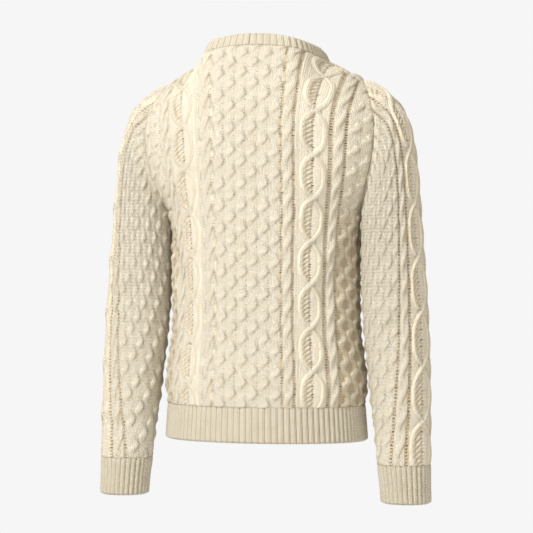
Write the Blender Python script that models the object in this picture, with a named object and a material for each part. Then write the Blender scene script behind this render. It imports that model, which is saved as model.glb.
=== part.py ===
"""Aran cable-knit crew-neck sweater, filled out as when it is worn, hollow and open at neck, hem and cuffs.

Front faces -Y, the wearer's left is +X, +Z is up. The origin is the middle of the neck opening, half
way up the neckband at its sides. Sizes are in millimetres until a mesh is made.
Each knitted piece is a wall whose outer points are raised into cables over a plain inner side.
"""
import math

import bpy
import numpy as np
from mathutils import Vector
from mathutils.geometry import delaunay_2d_cdt

# Driving sizes
METRE = 0.001
WALL = 3.0
SEAM = 0.3
STITCH = 4.75
ROW = 4.71
SLEEVE_ROW = 5.75
CABLE_ROWS = 4
HEM_BOTTOM = -661.0
WELT_TOP = -600.0
UNDERARM = -262.0
SHOULDER_TIP = (177.0, -40.0)
NECK_HALF_WIDTH = 111.0
NECK_BACK_RISE = 17.5
NECK_FRONT_DROP = 62.0
SHOULDER_SEAM_BEHIND = 22.0
SHOULDER_ROUND = {"back": 75.0, "front": 85.0}
ARMHOLE_BULGE = 40.0
ARMHOLE_DEPTH = 49.0
SIDE_STITCHES = 46.75
SIDE_ROW_SHRINK = 0.05
CUFF_TOP = -697.0
CUFF_BOTTOM = -763.0
RIB_PITCH = 9.2
RIB_RISE = 2.4
BAND_HEIGHT = 23.0
CABLE_RISE = 4.4
VALLEY_RISE = 0.3
SEAM_FADE = 18.0
LEAST_FADE = 0.25
CABLE_MARGIN = 4.5
SIDE_STEP = 18.0
WELT_STITCHES = 4.0
INSIDE_STEP = 46.0
INSIDE_MARGIN = 14.0
UPPER_DEPTH = 190.0
UPPER_STEP = 21.0
UPPER_MARGIN = 7.0
ARMHOLE_ACROSS = 175.5
ARMHOLE_LEAN = 1.5
ARMHOLE_POINTS = 22
NECK_RIBS = 60
NECK_FRONT_RIBS = 1
UNDERARM_EASE = 1.2
UNDERARM_EASE_TOP = -200.0
TOP_PATH = 600.0
PANEL_REACH = 700.0
SLEEVE_REACH = 760.0
BODY_LEVEL = 10.0
SLEEVE_LEVEL = 6.0
LABEL_HEIGHT = -568.0
LABEL_SIZE = (9.0, 1.2, 15.0)


def table(names, rows):
    """Named columns of numbers, one row for each section."""
    columns = zip(*rows)
    return {name: np.array(column, float) for name, column in zip(names.split(), columns)}


BODY = table("height half_width back front", [
    (-670, 179.0, 117, 108),
    (-640, 177.0, 117, 108),
    (-600, 174.5, 116, 109),
    (-560, 177.5, 118, 112),
    (-520, 173.0, 115, 110),
    (-478, 167.0, 112, 107),
    (-420, 165.4, 112, 107),
    (-362, 165.3, 113, 109),
    (-300, 168.0, 115, 112),
    (-262, 174.0, 117, 114),
    (-190, 174.0, 120, 115),
    (-110, 174.0, 123, 109),
    (-50, 174.0, 118, 101),
    (30, 174.0, 109, 92),
])

GAUGE = table("height width_of_stitch widening", [
    (-262, 4.94, 0.0),
    (-190, 4.82, 0.09),
    (-108, 4.80, 0.143),
    (-50, 5.10, 0.14),
])

RIDGE = table("across height", [
    (0, 58),
    (40, 54),
    (75, 44),
    (90, 27),
    (100, 10),
    (108, -4),
    (114, -10),
    (124, -15),
    (140, -21),
    (177, -40),
    (210, -55),
])

SLEEVE = table("outer_x outer_z inner_x inner_z middle_y half_depth bulge", [
    (199.0, -50, 175.5, -266, 1, 50.0, 24),
    (224.0, -67, 176.5, -272, 2, 51.5, 16),
    (243.0, -90, 177.5, -282, 3, 53.0, 8),
    (257.0, -124, 178.0, -298, 4, 54.5, 2),
    (266.0, -172, 178.5, -322, 5, 55.0, 0),
    (272.5, -240, 178.5, -356, 6, 55.0, 0),
    (279.0, -320, 179.5, -404, 8, 54.0, 0),
    (286.0, -410, 183.0, -464, 10, 52.5, 0),
    (291.0, -500, 190.0, -528, 12, 50.5, 0),
    (293.5, -590, 198.0, -600, 15, 47.0, 0),
    (294.5, -650, 205.0, -652, 18, 43.0, 0),
    (295.5, -697, 209.0, -697, 20, 41.0, 0),
])


def smooth(xs, ys, at):
    """Cubic curve through the rows of a table."""
    at = np.clip(np.asarray(at, float), xs[0], xs[-1])
    slope = np.gradient(ys, xs)
    index = np.clip(np.searchsorted(xs, at, side="right") - 1, 0, len(xs) - 2)
    step = xs[index + 1] - xs[index]
    t = (at - xs[index]) / step
    a = ys[index] * (2 * t ** 3 - 3 * t ** 2 + 1) + ys[index + 1] * (3 * t ** 2 - 2 * t ** 3)
    b = slope[index] * (t ** 3 - 2 * t ** 2 + t) + slope[index + 1] * (t ** 3 - t ** 2)
    return a + step * b


def body(name, height):
    return smooth(BODY["height"], BODY[name], height)


def ridge(across):
    """Height of the shoulder line above a distance from the middle."""
    return smooth(RIDGE["across"], RIDGE["height"], across)


# Armhole curve: angle 0 at the shoulder tip, pi at the underarm

ARM_MIDDLE = (SHOULDER_TIP[1] + UNDERARM) / 2
ARM_HALF = (SHOULDER_TIP[1] - UNDERARM) / 2


def armhole_across(angle):
    c = np.cos(angle)
    return ARMHOLE_ACROSS + ARMHOLE_LEAN * c + ARMHOLE_BULGE * np.sin(angle) ** 2 * (0.75 + 0.25 * c)


def armhole_height(angle):
    return ARM_MIDDLE + ARM_HALF * np.cos(angle)


def section_width(side, height):
    """Half width of the level section that holds the cloth at a height."""
    height = np.asarray(height, float)
    cosine = np.clip((height - ARM_MIDDLE) / ARM_HALF, -1, 1)
    angle = np.arccos(cosine)
    reach = np.where(angle < math.pi / 2, ARMHOLE_DEPTH, ARMHOLE_DEPTH * np.sin(angle))
    upper = armhole_across(angle) / np.sqrt(1 - (reach / body(side, height)) ** 2)
    return np.where(height > UNDERARM, upper, body("half_width", height))


def section_depth(side, across, height):
    ratio = np.clip(np.abs(across) / section_width(side, height), 0, 1)
    return body(side, height) * np.sqrt(1 - ratio ** 2)


def round_start(side, across):
    return ridge(np.abs(across)) - SHOULDER_ROUND[side]


def round_length(side, across):
    depth = section_depth(side, across, round_start(side, across))
    return math.pi / 2 * np.sqrt((SHOULDER_ROUND[side] ** 2 + depth ** 2) / 2)


def path_to_ridge(side, across):
    return round_start(side, across) - WELT_TOP + round_length(side, across)


def path_at(side, across, height):
    """Distance up the cloth from the welt to a height."""
    start = round_start(side, across)
    lift = np.clip((height - start) / SHOULDER_ROUND[side], 0, 1)
    curved = np.arcsin(lift) / (math.pi / 2) * round_length(side, across)
    return np.where(height <= start, height - WELT_TOP, start - WELT_TOP + curved)


def half_point(side, across, path):
    """Point on one half of the body, back or front, on a column at a distance up the cloth."""
    start = round_start(side, across)
    turn = np.clip((path - (start - WELT_TOP)) / round_length(side, across), 0, 1) * math.pi / 2
    height = np.where(turn > 0, start + SHOULDER_ROUND[side] * np.sin(turn), WELT_TOP + path)
    depth = section_depth(side, across, height) * np.cos(turn)
    sign = 1 if side == "back" else -1
    return np.stack([across, sign * depth, height], -1)


def body_surface(side, across, path):
    """As half_point, and on over the shoulder line to the other half."""
    other = "front" if side == "back" else "back"
    top = path_to_ridge(side, across)
    near = half_point(side, across, np.minimum(path, top))
    far = half_point(other, across, path_to_ridge(other, across) - (path - top))
    return np.where((path > top)[..., None], far, near)


class Columns:
    """Where each column of stitches runs on a half of the body."""

    def __init__(self, side):
        self.levels = np.arange(WELT_TOP, GAUGE["height"][-1] + 1, BODY_LEVEL)
        self.stitches = np.linspace(0, SIDE_STITCHES + 6, 120)
        bends = np.linspace(0, math.pi / 2, 241)
        rows = []
        for level in self.levels:
            width = float(section_width(side, level))
            depth = float(body(side, level))
            x = width * np.sin(bends)
            y = depth * np.cos(bends)
            run = np.concatenate([[0], np.cumsum(np.hypot(np.diff(x), np.diff(y)))])
            if level <= UNDERARM:
                gauge = run[-1] / SIDE_STITCHES
                widening = 0.0
                at_underarm = gauge
            else:
                scale = at_underarm / GAUGE["width_of_stitch"][0]
                gauge = scale * smooth(GAUGE["height"], GAUGE["width_of_stitch"], level)
                widening = smooth(GAUGE["height"], GAUGE["widening"], level)
            arc = gauge * self.stitches * (1 + widening * self.stitches / 40)
            rows.append(np.interp(arc, run, x))
        self.across = np.array(rows)

    def at(self, stitch, path):
        """Distance from the middle, with the sign of the stitch number."""
        level = np.clip(WELT_TOP + np.asarray(path, float), self.levels[0], self.levels[-1])
        row = (level - self.levels[0]) / BODY_LEVEL
        low = np.clip(row.astype(int), 0, len(self.levels) - 2)
        part = row - low
        column = np.clip(np.abs(stitch) / self.stitches[1], 0, len(self.stitches) - 1.001)
        left = column.astype(int)
        share = column - left
        grid = self.across
        lower = grid[low, left] * (1 - share) + grid[low, left + 1] * share
        upper = grid[low + 1, left] * (1 - share) + grid[low + 1, left + 1] * share
        return np.sign(stitch) * (lower * (1 - part) + upper * part)

    def stitch_at(self, across, path):
        return np.interp(across, self.at(self.stitches, np.full(len(self.stitches), path)), self.stitches)


def neck_height(side, across):
    """Height of the neckline over a distance from the middle."""
    c = np.sqrt(np.clip(1 - (across / NECK_HALF_WIDTH) ** 2, 0, 1))
    lean = (NECK_BACK_RISE + NECK_FRONT_DROP) / 2
    bow = (NECK_FRONT_DROP - NECK_BACK_RISE) / 2
    start = ridge(NECK_HALF_WIDTH) * (1 - c)
    return start + (lean if side == "back" else -lean) * c ** 1.5 - bow * c * c


def neck_steps(side):
    """Distances from the middle of the neckline's points, evenly spaced from the shoulder line."""
    count = NECK_RIBS // 4 + (NECK_FRONT_RIBS if side == "front" else -NECK_FRONT_RIBS)
    x = NECK_HALF_WIDTH * np.cos(np.linspace(0, math.pi / 2, 400))
    line = half_point(side, x, path_at(side, x, neck_height(side, x)))
    run = np.concatenate([[0], np.cumsum(np.linalg.norm(np.diff(line, axis=0), axis=1))])
    steps = np.interp(np.linspace(0, run[-1], count + 1), run, x)
    steps[-1] = 0.0
    return steps


def shoulder_shift(across):
    """How far behind the shoulder line its seam runs, growing from nothing at the neck."""
    t = np.clip((np.abs(across) - NECK_HALF_WIDTH) / 18, 0, 1)
    return SHOULDER_SEAM_BEHIND * t * t * (3 - 2 * t)


def seam_angle():
    """Angle on the back armhole at which the shoulder seam meets it."""
    angles = np.linspace(0, 1.2, 241)
    x = armhole_across(angles)
    left = path_to_ridge("back", x) - path_at("back", x, armhole_height(angles))
    return float(np.interp(SHOULDER_SEAM_BEHIND, left, angles))


def armhole_turns():
    """Angles of the armhole's points, positive behind the shoulder line, from underarm to underarm."""
    seam = seam_angle()
    down = [a for a in np.linspace(math.pi, 0, ARMHOLE_POINTS) if a > seam + 0.05]
    return down + [seam, seam / 2] + [-a for a in np.linspace(0, math.pi, ARMHOLE_POINTS)]


def armhole_point(turn):
    """Point of the left armhole curve, and its path on the half of the body that it lies on."""
    side = "back" if turn > 0 else "front"
    x = float(armhole_across(abs(turn)))
    path = float(path_at(side, x, float(armhole_height(abs(turn)))))
    return half_point(side, np.array(x), np.array(path)), side, path


def panel_outline(side, columns):
    """Half of a panel's edge, from the welt up to the middle of the neck, on the +X side.

    Each row is stitch, path, point and kind.
    """
    edge = []
    for path in np.arange(0, UNDERARM - WELT_TOP - SIDE_STEP / 2, SIDE_STEP):
        point = half_point(side, section_width(side, WELT_TOP + path), np.array(path))
        edge.append((SIDE_STITCHES, path, point, "side"))
    seam = seam_angle()
    turns = armhole_turns()
    if side == "back":
        turns = [a for a in turns if a >= seam]
    else:
        turns = [a for a in turns if a <= seam][::-1]
    for turn in turns:
        point, half, path = armhole_point(turn)
        x = float(point[0])
        if half != side:
            path = float(path_to_ridge(side, x) + path_to_ridge(half, x)) - path
        edge.append((float(columns.stitch_at(x, path)), path, point, "armhole"))
    for x in np.linspace(float(edge[-1][2][0]), NECK_HALF_WIDTH, 9)[1:]:
        behind = half_point("back", np.array(x), path_to_ridge("back", x) - shoulder_shift(x))
        shift = -float(shoulder_shift(x)) if side == "back" else float(shoulder_shift(x))
        path = float(path_to_ridge(side, x)) + shift
        edge.append((float(columns.stitch_at(x, TOP_PATH)), path, behind, "shoulder"))
    for x in neck_steps(side)[1:]:
        path = float(path_at(side, x, neck_height(side, x)))
        point = half_point(side, np.array(x), np.array(path))
        edge.append((float(columns.stitch_at(x, TOP_PATH)), path, point, "neck"))
    return edge


# Stitch pattern: columns in stitches from the middle, raised by the row

BODY_COLUMNS = table("stitch kind phase", [
    (0.0, 1, 0), (4.0, 1, 1), (8.0, 1, 0), (11.3, 2, 1),
    (12.5, 0, 0), (13.9, 3, 0), (15.9, 3, 1), (17.3, 0, 0), (18.3, 4, 0),
    (19.5, 5, 2), (21.7, 5, 1), (24.0, 5, 0), (26.3, 5, 1), (28.5, 5, 2),
    (29.6, 0, 0), (30.9, 3, 0), (32.9, 3, 1), (34.2, 0, 0),
    (35.5, 2, 1), (38.6, 1, 0), (42.7, 1, 1),
])
SLEEVE_COLUMNS = table("stitch kind phase", [
    (0.0, 5, 0), (2.3, 5, 1), (4.6, 5, 2), (5.9, 0, 0), (7.5, 3, 0), (9.7, 3, 1),
    (11.2, 0, 0), (12.6, 2, 1), (16.4, 1, 0), (20.7, 1, 1), (25.0, 1, 0), (29.3, 1, 1), (33.0, 4, 0),
])
VALLEY, HONEYCOMB, HONEYCOMB_EDGE, ROPE, RIB, DIAMOND = range(6)


def cable_height(kind, phase, step):
    """Rise of a column's point at a step of four rows."""
    if kind == VALLEY:
        return VALLEY_RISE
    if kind == RIB:
        return 0.5 * CABLE_RISE
    if kind == DIAMOND:
        apart = (1, 2, 1, 0)[step % 4]
        if phase == apart:
            return CABLE_RISE
        return 0.42 * CABLE_RISE if phase < apart else 0.15 * CABLE_RISE
    raised = (step + phase) % 2 == 0
    if kind == HONEYCOMB:
        return CABLE_RISE if raised else VALLEY_RISE
    low = 0.45 if kind == ROPE else 0.25
    return CABLE_RISE * (0.92 if raised else low)


def both_sides(columns):
    """Rows of a column table for the left and the right of its middle column."""
    rows = list(zip(columns["stitch"], columns["kind"].astype(int), columns["phase"].astype(int)))
    return [(-stitch, kind, phase) for stitch, kind, phase in rows[:0:-1]] + rows


def pattern_points(columns, inside, row, shrink, steps):
    """Raised points of a piece as (stitch, path, rise), and the links between neighbouring tops."""
    points = []
    grid = {}
    for j, (stitch, kind, phase) in enumerate(both_sides(columns)):
        tall = row * CABLE_ROWS * (1 - shrink * min(1.0, (stitch / 32) ** 2))
        for step in range(steps):
            path = tall * (step + 0.5)
            if inside(stitch * STITCH, path, CABLE_MARGIN):
                grid[j, step] = len(points)
                points.append((stitch, path, cable_height(kind, phase, step)))
    links = []
    for (j, step), here in grid.items():
        others = [grid.get(key) for key in ((j + 1, step), (j, step + 1), (j + 1, step + 1))]
        if None in others:
            continue
        right, above, across = others
        rising = points[here][2] + points[across][2]
        falling = points[right][2] + points[above][2]
        links.append((here, across) if rising >= falling else (right, above))
    return points, links


def keep_inside(loop):
    """Test for points inside a closed outline and a margin clear of its edge."""
    a = np.array(loop)
    b = np.roll(a, -1, axis=0)

    def inside(u, v, margin):
        run = b - a
        share = np.clip(((u - a[:, 0]) * run[:, 0] + (v - a[:, 1]) * run[:, 1]) / (run ** 2).sum(1), 0, 1)
        away = np.hypot(a[:, 0] + share * run[:, 0] - u, a[:, 1] + share * run[:, 1] - v)
        crosses = (a[:, 1] > v) != (b[:, 1] > v)
        drop = np.where(run[:, 1] == 0, 1e-9, run[:, 1])
        left = u < a[:, 0] + (v - a[:, 1]) * run[:, 0] / drop
        return away.min() > margin and bool(np.sum(crosses & left) % 2)

    return inside


def triangulate(loop, points, links):
    """Triangles over a flat outline and the points in it, numbered outline first."""
    flat = [Vector(p) for p in loop] + [Vector(p) for p in points]
    count = len(loop)
    edges = [(count + i, count + j) for i, j in links]
    result = delaunay_2d_cdt(flat, edges, [list(range(count))], 1, 1e-5)
    origin = {new: old[0] for new, old in enumerate(result[3]) if old}
    return [tuple(origin[i] for i in face) for face in result[2]]


def unit(vectors):
    return vectors / np.maximum(np.linalg.norm(vectors, axis=-1, keepdims=True), 1e-12)


def facing(place, u, v, step=0.6):
    """Outward directions of a surface, from the run of its rows and columns."""
    along = place(u + step, v) - place(u - step, v)
    up = place(u, v + step) - place(u, v - step)
    return unit(np.cross(along, up))


# Materials and meshes

def wool(name, colour, roughness):
    material = bpy.data.materials.new(name)
    material.use_nodes = True
    shader = material.node_tree.nodes["Principled BSDF"]
    shader.inputs["Base Color"].default_value = colour
    shader.inputs["Roughness"].default_value = roughness
    shader.inputs["Metallic"].default_value = 0.0
    return material


def add_piece(name, points, faces, material, collection):
    """Mesh object from points in millimetres."""
    mesh = bpy.data.meshes.new(name)
    mesh.from_pydata((np.array(points) * METRE).tolist(), [], faces)
    mesh.validate()
    mesh.update()
    mesh.materials.append(material)
    piece = bpy.data.objects.new(name, mesh)
    collection.objects.link(piece)
    return piece


def mirrored(points, faces):
    """The same piece on the other side of the body."""
    return np.array(points) * [-1, 1, 1], [tuple(reversed(face)) for face in faces]


def wall(flat_loop, edge_points, edge_normals, place, pattern, joined=()):
    """Closed wall between a cabled outer side and a plain inner side.

    joined pairs the outline's points that lie on one seam, where the piece closes into a tube.
    """
    raised, links = pattern
    inside = keep_inside(flat_loop)
    flat = np.array([(stitch * STITCH, path) for stitch, path, rise in raised])
    rises = np.array([rise for stitch, path, rise in raised])
    loop = np.array(flat_loop)
    distance = np.array([np.hypot(*(loop - point).T).min() for point in flat])
    fade = np.clip(distance / SEAM_FADE, LEAST_FADE, 1)
    outward = facing(place, flat[:, 0], flat[:, 1])
    outer = place(flat[:, 0], flat[:, 1]) + outward * (rises * fade)[:, None]
    low, high = loop.min(0), loop.max(0)
    upper = high[1] - UPPER_DEPTH
    sparse = [(u, v) for u in np.arange(low[0] + 20, high[0], INSIDE_STEP)
              for v in np.arange(low[1] + 20, upper, INSIDE_STEP) if inside(u, v, INSIDE_MARGIN)]
    sparse += [(u, v) for u in np.arange(low[0] + 10, high[0], UPPER_STEP)
               for v in np.arange(upper, high[1], UPPER_STEP) if inside(u, v, UPPER_MARGIN)]
    sparse = np.array(sparse)
    outward = facing(place, sparse[:, 0], sparse[:, 1])
    inner = place(sparse[:, 0], sparse[:, 1]) - outward * WALL
    count = len(flat_loop)
    points = np.vstack([edge_points, edge_points - WALL * edge_normals, outer, inner])
    faces = []
    for face in triangulate(flat_loop, flat, links):
        faces.append(tuple(i if i < count else i + count for i in face))
    for face in triangulate(flat_loop, sparse, []):
        faces.append(tuple(i + count if i < count else i + count + len(flat) for i in reversed(face)))
    same = {}
    for first, second in joined:
        same[second] = first
        same[second + count] = first + count
    on_seam = {first for first, second in joined} | {second for first, second in joined}
    for i in range(count):
        j = (i + 1) % count
        if i in on_seam and j in on_seam:
            continue
        faces.append((j, i, i + count))
        faces.append((j, i + count, j + count))
    faces = [tuple(same.get(i, i) for i in face) for face in faces]
    used = sorted({i for face in faces for i in face})
    number = {old: new for new, old in enumerate(used)}
    return points[used], [tuple(number[i] for i in face) for face in faces]


def inward(flat_loop, place, edge_points):
    """Unit directions from a piece's edge points into the piece."""
    loop = np.array(flat_loop)
    before = unit(loop - np.roll(loop, 1, axis=0))
    after = unit(np.roll(loop, -1, axis=0) - loop)
    along = unit(before + after)
    into = np.stack([-along[:, 1], along[:, 0]], -1)
    moved = loop + 2.0 * into
    return unit(place(moved[:, 0], moved[:, 1]) - edge_points)


def armhole_ease(points):
    """Distance by which each edge point draws back, more where two cloths fold together underarm."""
    low = np.clip((UNDERARM_EASE_TOP - points[:, 2]) / (UNDERARM_EASE_TOP - UNDERARM), 0, 1)
    near = (points[:, 2] > UNDERARM - 1) & (np.abs(points[:, 0]) > NECK_HALF_WIDTH)
    return (SEAM * 0.7 + np.where(near, low * UNDERARM_EASE, 0))[:, None]


def panel(side, seam_normals):
    """Front or back between its welt, side seams, armholes, shoulder seams and neckline."""
    columns = Columns(side)
    half = panel_outline(side, columns)
    sign = -1 if side == "back" else 1
    bottom = [(s, 0.0, half_point(side, columns.at(np.array(s), np.array(0.0)), np.array(0.0)), "welt")
              for s in np.arange(WELT_STITCHES / 2, SIDE_STITCHES - 1, WELT_STITCHES)]

    def mirror(edge):
        return [(-s, path, point * [-1, 1, 1], kind) for s, path, point, kind in edge[::-1]]

    outline = mirror(bottom) + bottom + half + mirror(half[:-1])
    flat = [(s * STITCH, path) for s, path, point, kind in outline]
    points = np.array([point * [sign, 1, 1] for s, path, point, kind in outline])

    def place(u, v):
        x = columns.at(u / STITCH, v)
        return body_surface(side, sign * x, v)

    loop = np.array(flat)
    normals = facing(place, loop[:, 0], loop[:, 1])
    for i, (s, path, point, kind) in enumerate(outline):
        if kind == "side":
            normals[i] = (math.copysign(1, points[i][0]), 0, 0)
        if kind in ("armhole", "shoulder", "neck"):
            normals[i] = seam_normals(points[i], normals[i])
    points = points + inward(flat, place, points) * armhole_ease(points)
    for i, (s, path, point, kind) in enumerate(outline):
        if kind == "side" or abs(point[2] - UNDERARM) < 0.01:
            points[i][1] = SEAM * 0.6 * (1 if side == "back" else -1)
            normals[i][1] = 0
        if kind == "welt" or path == 0:
            points[i][2] = WELT_TOP
    steps = int(PANEL_REACH / (ROW * CABLE_ROWS))
    pattern = pattern_points(BODY_COLUMNS, keep_inside(flat), ROW, SIDE_ROW_SHRINK, steps)
    return wall(flat, points, normals, place, pattern)


class SleeveForm:
    """Left sleeve from cuff to armhole, by arc from its outer line and path up from the cuff."""

    def __init__(self):
        self.turns = np.linspace(-math.pi, math.pi, 145)
        rings = [np.array([armhole_point(turn)[0] for turn in self.turns])]
        for row in range(len(SLEEVE["outer_x"])):
            part = {name: values[row] for name, values in SLEEVE.items()}
            rings.append(sleeve_ring(part, self.turns))
        rings = np.array(rings[::-1])
        steps = np.linalg.norm(np.diff(rings, axis=0), axis=2)
        self.knots = np.vstack([np.zeros(len(self.turns)), np.cumsum(steps, axis=0)])
        self.paths = np.arange(0, self.knots[-1].max() + SLEEVE_LEVEL, SLEEVE_LEVEL)
        lines = []
        for i in range(len(self.turns)):
            at = np.minimum(self.paths, self.knots[-1, i])
            line = [smooth(self.knots[:, i], rings[:, i, axis], at) for axis in range(3)]
            lines.append(np.stack(line, -1))
        self.points = np.array(lines).transpose(1, 0, 2)
        arcs = np.linalg.norm(np.diff(self.points, axis=1), axis=2)
        run = np.hstack([np.zeros((len(self.paths), 1)), np.cumsum(arcs, axis=1)])
        self.arcs = run - run[:, [len(self.turns) // 2]]

    def place(self, u, v):
        u, v = np.broadcast_arrays(np.asarray(u, float), np.asarray(v, float))
        level = np.clip(v / SLEEVE_LEVEL, 0, len(self.paths) - 1.001)
        low = level.astype(int)
        share = (level - low)[:, None]
        result = np.empty(u.shape + (3,))
        for i, row in enumerate(low):
            ends = []
            for k in (row, row + 1):
                ends.append([np.interp(u[i], self.arcs[k], self.points[k, :, axis]) for axis in range(3)])
            result[i] = np.array(ends[0]) * (1 - share[i]) + np.array(ends[1]) * share[i]
        return result

    def arc_at(self, turn, path):
        row = path / SLEEVE_LEVEL
        low = min(int(row), len(self.paths) - 2)
        ends = [np.interp(turn, self.turns, self.arcs[k]) for k in (low, low + 1)]
        return float(ends[0] + (ends[1] - ends[0]) * (row - low))

    def length_at(self, turn):
        return float(np.interp(turn, self.turns, self.knots[-1]))


def sleeve_ring(part, turns):
    """Ring of points round the left sleeve between an outer and an inner point."""
    outer = np.array([part["outer_x"], part["outer_z"]])
    inner = np.array([part["inner_x"], part["inner_z"]])
    middle = (outer + inner) / 2
    reach = (outer - inner) / 2
    across = middle[0] + reach[0] * np.cos(turns) + part["bulge"] * np.sin(turns) ** 2
    height = middle[1] + reach[1] * np.cos(turns)
    return np.stack([across, part["middle_y"] + part["half_depth"] * np.sin(turns), height], -1)


def sleeve(form, seam_normals):
    """Left sleeve as a tube that closes along its underarm seam."""
    turns = armhole_turns()
    seam_paths = np.arange(SIDE_STEP, form.length_at(math.pi) - SIDE_STEP / 2, SIDE_STEP)
    bottom = [(form.arc_at(turn, 0.0), 0.0) for turn in np.linspace(-math.pi, math.pi, 29)]
    right = [(form.arc_at(math.pi, path), path) for path in seam_paths]
    left = [(form.arc_at(-math.pi, path), path) for path in seam_paths[::-1]]
    top = [(form.arc_at(turn, form.length_at(turn)), form.length_at(turn)) for turn in turns]
    flat = bottom + right + top + left
    points = form.place(*np.array(flat).T)
    first = len(bottom) + len(right)
    for i, turn in enumerate(turns):
        points[first + i] = armhole_point(turn)[0]
    normals = facing(form.place, *np.array(flat).T)
    into = inward(flat, form.place, points)
    for i in range(first, first + len(top)):
        normals[i] = seam_normals(points[i], normals[i])
        points[i] = points[i] + into[i] * armhole_ease(points[[i]])[0]
    for i in range(len(bottom)):
        points[i][2] = CUFF_TOP
    joined = [(len(bottom) - 1, 0)]
    joined += [(len(bottom) + i, len(flat) - 1 - i) for i in range(len(right))]
    joined += [(first, first + len(top) - 1)]
    steps = int(SLEEVE_REACH / (SLEEVE_ROW * CABLE_ROWS))
    pattern = pattern_points(SLEEVE_COLUMNS, keep_inside(flat), SLEEVE_ROW, 0.0, steps)
    return wall(flat, points, normals, form.place, pattern, joined)


def ribbed(base, normals, closed):
    """Ribbed strip from rows of points, each rib two points wide outside and one inside."""
    rows, count = base.shape[:2]
    bump = np.where(np.arange(count) % 2 == 1, RIB_RISE, 0.0)
    outer = base + normals * bump[None, :, None]
    inner = base[:, ::2] - normals[:, ::2] * WALL
    inside_count = inner.shape[1]
    points = np.vstack([outer.reshape(-1, 3), inner.reshape(-1, 3)])
    start = rows * count
    faces = []
    span = count if closed else count - 1
    for row in range(rows - 1):
        for i in range(span):
            a, b = row * count + i, row * count + (i + 1) % count
            faces += [(a, b, b + count), (a, b + count, a + count)]
        for i in range(inside_count if closed else inside_count - 1):
            a = start + row * inside_count + i
            b = start + row * inside_count + (i + 1) % inside_count
            faces += [(b, a, a + inside_count), (b, a + inside_count, b + inside_count)]
    top = (rows - 1) * count
    inner_top = start + (rows - 1) * inside_count
    for i in range(0, span, 2):
        a, b, c = i, i + 1, (i + 2) % count
        k, m = i // 2, (i // 2 + 1) % inside_count
        faces += [(b, a, start + k), (b, start + k, start + m), (c, b, start + m)]
        faces += [(top + a, top + b, inner_top + k), (inner_top + k, top + b, inner_top + m)]
        faces += [(top + b, top + c, inner_top + m)]
    if not closed:
        last, inside_last = count - 1, inside_count - 1
        for row in range(rows - 1):
            a, b = row * count, (row + 1) * count
            k, m = start + row * inside_count, start + (row + 1) * inside_count
            faces += [(k, a, b), (k, b, m)]
            a, b, k, m = a + last, b + last, k + inside_last, m + inside_last
            faces += [(a, k, m), (a, m, b)]
    return points, faces


def strip_normals(base, closed):
    """Outward directions of rows of points that run to the right, rows going up."""
    if closed:
        along = np.roll(base, -1, axis=1) - np.roll(base, 1, axis=1)
    else:
        along = np.gradient(base, axis=1)
    up = np.gradient(base, axis=0)
    return unit(np.cross(along, up))


def welt(side):
    """Ribbed lower edge of the front or the back."""
    sign = 1 if side == "back" else -1
    heights = [HEM_BOTTOM, (HEM_BOTTOM + WELT_TOP) / 2, WELT_TOP - SEAM]
    width = float(body("half_width", WELT_TOP))
    depth = float(body(side, WELT_TOP))
    run = math.pi / 2 * math.sqrt((width ** 2 + depth ** 2) / 2)
    ribs = 2 * round(run / RIB_PITCH)
    angles = np.linspace(-math.pi / 2, math.pi / 2, 2 * ribs + 1)
    rows = []
    for height in heights:
        x = -sign * float(body("half_width", height)) * np.sin(angles)
        y = sign * float(body(side, height)) * np.cos(angles)
        rows.append(np.stack([x, y, np.full_like(x, height)], -1))
    base = np.array(rows)
    normals = strip_normals(base, False)
    normals[..., 2] = 0
    normals = unit(normals)
    normals[:, 0] = (sign * 1.0, 0, 0)
    normals[:, -1] = (-sign * 1.0, 0, 0)
    base[:, [0, -1], 1] = sign * SEAM * 0.6
    return ribbed(base, normals, False)


CUFF = table("outer_x outer_z inner_x inner_z middle_y half_depth bulge", [
    (296.5, CUFF_BOTTOM, 216.5, CUFF_BOTTOM, 22, 38.0, 0),
    (295.5, -725, 213.0, -725, 21, 39.0, 0),
    (295.5, CUFF_TOP - SEAM, 209.0, CUFF_TOP - SEAM, 20, 41.0, 0),
])


def cuff():
    """Ribbed end of the left sleeve."""
    ribs = round(math.pi * (CUFF["outer_x"][2] - CUFF["inner_x"][2]) / RIB_PITCH)
    turns = np.linspace(-math.pi, math.pi, 2 * ribs + 1)[:-1]
    parts = [{name: values[row] for name, values in CUFF.items()} for row in range(3)]
    base = np.array([sleeve_ring(part, turns) for part in parts])
    normals = strip_normals(base, True)
    normals[..., 2] = 0
    return ribbed(base, unit(normals), True)


def neckline():
    """Points of the neckline, valley by valley, from the middle of the back toward the wearer's right."""
    quarters = []
    for side in ("back", "front"):
        x = neck_steps(side)
        quarters.append(half_point(side, x, path_at(side, x, neck_height(side, x))))
    half = np.vstack([quarters[0][::-1], quarters[1][1:]])
    return np.vstack([half * [-1, 1, 1], half[-2:0:-1]])


def band_lean(points):
    """Directions in which the neckband stands up from the neckline."""
    across = points[:, 0] / NECK_HALF_WIDTH
    behind = np.clip(0.5 + points[:, 1] / 180, 0, 1)
    lean = np.stack([-0.42 * across, 0.25 - 0.62 * behind, np.full(len(points), 0.93)], -1)
    return unit(lean)


def neckband(base):
    """Ribbed crew neckband standing on the neckline."""
    between = (base + np.roll(base, -1, axis=0)) / 2
    line = np.stack([base, between], 1).reshape(-1, 3)
    lean = band_lean(line)
    rows = np.array([line + lean * up for up in (0.5, BAND_HEIGHT * 0.5, BAND_HEIGHT)])
    normals = strip_normals(rows, True)
    normals[0] = normals[1]
    return ribbed(rows, normals, True)


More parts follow.
